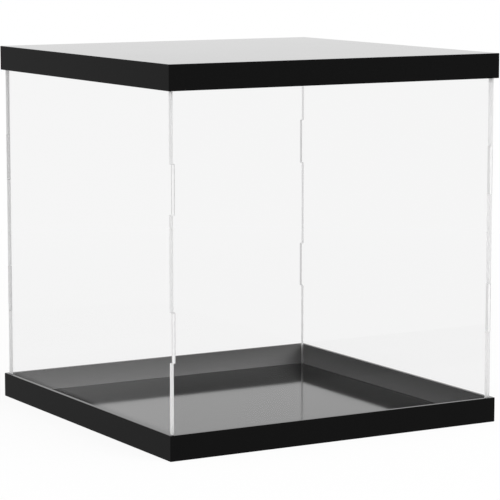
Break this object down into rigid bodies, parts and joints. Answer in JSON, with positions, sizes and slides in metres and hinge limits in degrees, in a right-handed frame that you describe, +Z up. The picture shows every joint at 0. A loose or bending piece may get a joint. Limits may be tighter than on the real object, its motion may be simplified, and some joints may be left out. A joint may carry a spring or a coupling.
{
  "type": "display box",
  "caption": "Cube-shaped clear display box: finger-jointed clear sheets stand in a shallow black base tray under a matching lift-off lid.",
  "frame": {"origin": "middle of the underside of the base", "axes": "+X to the right along the front, +Y to the rear, +Z up"},
  "size_m": [0.3, 0.3, 0.3],
  "materials": {
    "black_acrylic": "polished black acrylic sheet",
    "clear_acrylic": "polished clear acrylic sheet"
  },
  "bodies": {
    "base": {"base_plate": "black_acrylic", "base_rim_front": "black_acrylic", "base_rim_rear": "black_acrylic", "base_rim_left": "black_acrylic", "base_rim_right": "black_acrylic"},
    "cover": {"front_panel": "clear_acrylic", "rear_panel": "clear_acrylic", "left_panel": "clear_acrylic", "right_panel": "clear_acrylic"},
    "lid": {"lid_plate": "black_acrylic", "lid_rim_front": "black_acrylic", "lid_rim_rear": "black_acrylic", "lid_rim_left": "black_acrylic", "lid_rim_right": "black_acrylic"}
  },
  "joints": [
    {"name": "cover_lift", "type": "slide", "parent": "base", "child": "cover", "axis": [0, 0, 1], "range_m": [0, 0.32]},
    {"name": "lid_lift", "type": "slide", "parent": "cover", "child": "lid", "axis": [0, 0, 1], "range_m": [0, 0.1]}
  ]
}
